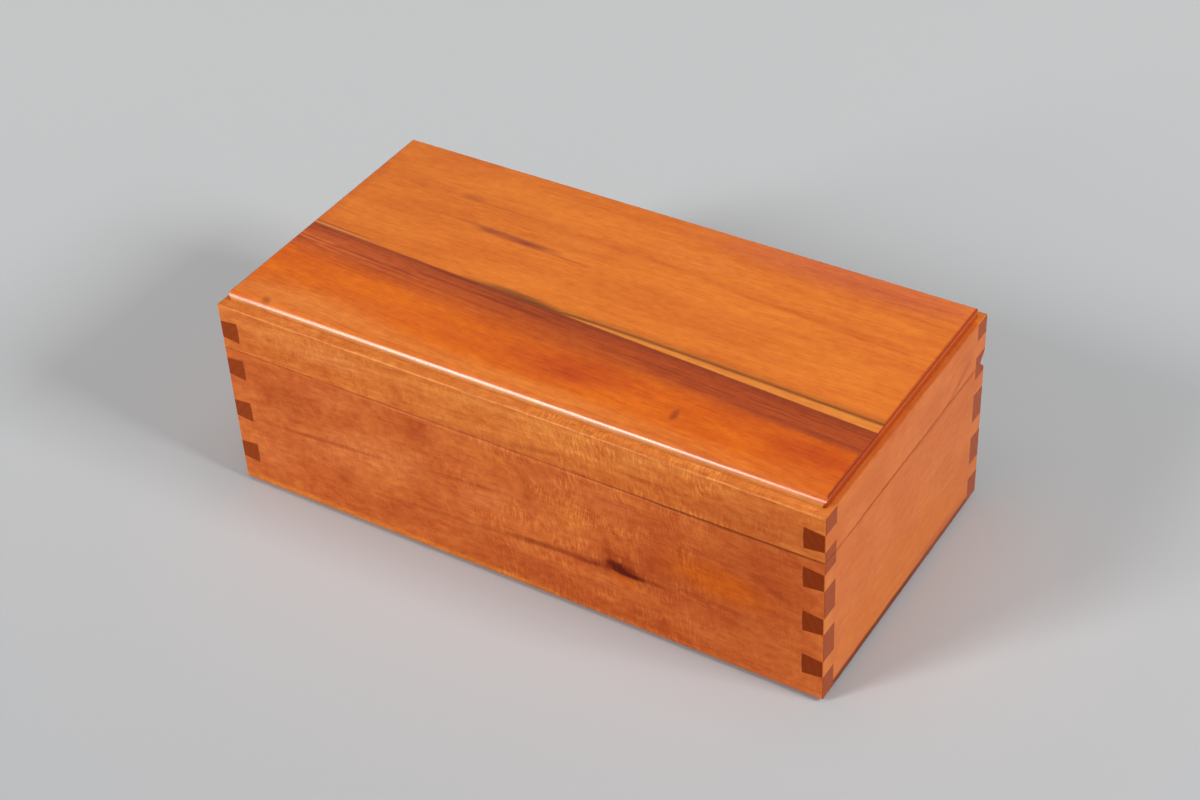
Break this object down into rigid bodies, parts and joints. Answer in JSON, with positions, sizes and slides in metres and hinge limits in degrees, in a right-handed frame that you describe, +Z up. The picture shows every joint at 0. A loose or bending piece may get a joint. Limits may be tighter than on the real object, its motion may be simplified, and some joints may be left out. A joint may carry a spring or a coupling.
{
  "type": "keepsake box",
  "caption": "Rectangular wooden keepsake box with through-dovetailed corners and a raised-panel lid that swings up on concealed barrel hinges.",
  "frame": {"origin": "middle of the box's footprint, on the surface that it stands on", "axes": "+X to the right along the box's length, +Y to its back, +Z up"},
  "size_m": [0.25, 0.126, 0.0875],
  "materials": {
    "wall_wood": "satin lacquer over orange-brown timber, dark end grain on the tails and pins",
    "floor_wood": "sanded and thinly lacquered",
    "front_board_wood": "satin lacquer, brown heartwood edge at the glue line",
    "rear_board_wood": "satin lacquer, golden edge at the glue line",
    "hinge_brass": "turned brass",
    "hinge_steel": "drawn steel pin"
  },
  "bodies": {
    "base": {"base_front_wall": "wall_wood", "base_back_wall": "wall_wood", "base_left_wall": "wall_wood", "base_right_wall": "wall_wood", "base_floor_panel": "floor_wood", "left_hinge_base_barrel": "hinge_brass", "right_hinge_base_barrel": "hinge_brass", "left_hinge_pin": "hinge_steel", "right_hinge_pin": "hinge_steel"},
    "lid": {"lid_front_rail": "wall_wood", "lid_back_rail": "wall_wood", "lid_left_rail": "wall_wood", "lid_right_rail": "wall_wood", "lid_front_board": "front_board_wood", "lid_rear_board": "rear_board_wood", "left_hinge_lid_barrel": "hinge_brass", "right_hinge_lid_barrel": "hinge_brass"}
  },
  "joints": [
    {"name": "lid_hinge", "type": "hinge", "parent": "base", "child": "lid", "pos_m": [0, 0.05935, 0.06445], "axis": [-1, 0, 0], "range_deg": [0, 95]}
  ]
}
